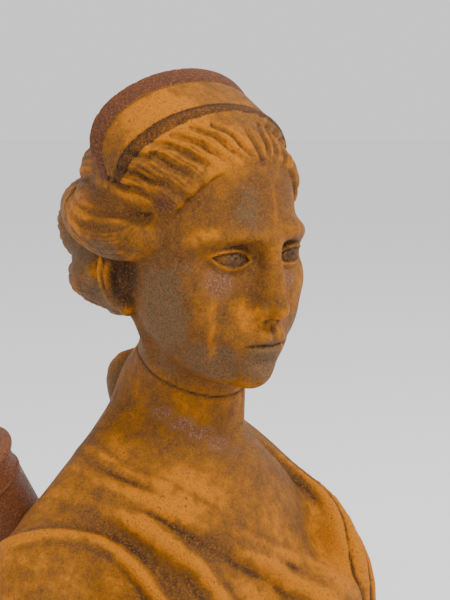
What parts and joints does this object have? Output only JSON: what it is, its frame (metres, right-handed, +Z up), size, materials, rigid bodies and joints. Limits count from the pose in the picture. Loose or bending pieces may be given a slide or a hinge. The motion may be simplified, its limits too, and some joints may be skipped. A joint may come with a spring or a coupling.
{
  "type": "cast iron garden bust",
  "caption": "Cast iron garden bust of a classical huntress: turned head with diadem and rolled hair, draped shoulders, and a quiver behind the right shoulder, cut flat below.",
  "frame": {"origin": "on the flat underside, straight below the middle of the shoulders", "axes": "+Z up along the height, -Y the way the shoulders face, -X towards the figure's right hand"},
  "size_m": [0.4457, 0.2897, 0.5511],
  "materials": {
    "head_iron": "sand-cast iron with orange rust, sooty grey-brown on the lower face and nape, dark purple-brown on the diadem's crest",
    "body_iron": "sand-cast iron with ochre and orange rust, darker brown in the folds, purple-brown at the neck",
    "quiver_iron": "sand-cast iron with dark red-brown rust"
  },
  "bodies": {
    "root": {"head": "head_iron", "body": "body_iron", "quiver": "quiver_iron"}
  },
  "joints": []
}
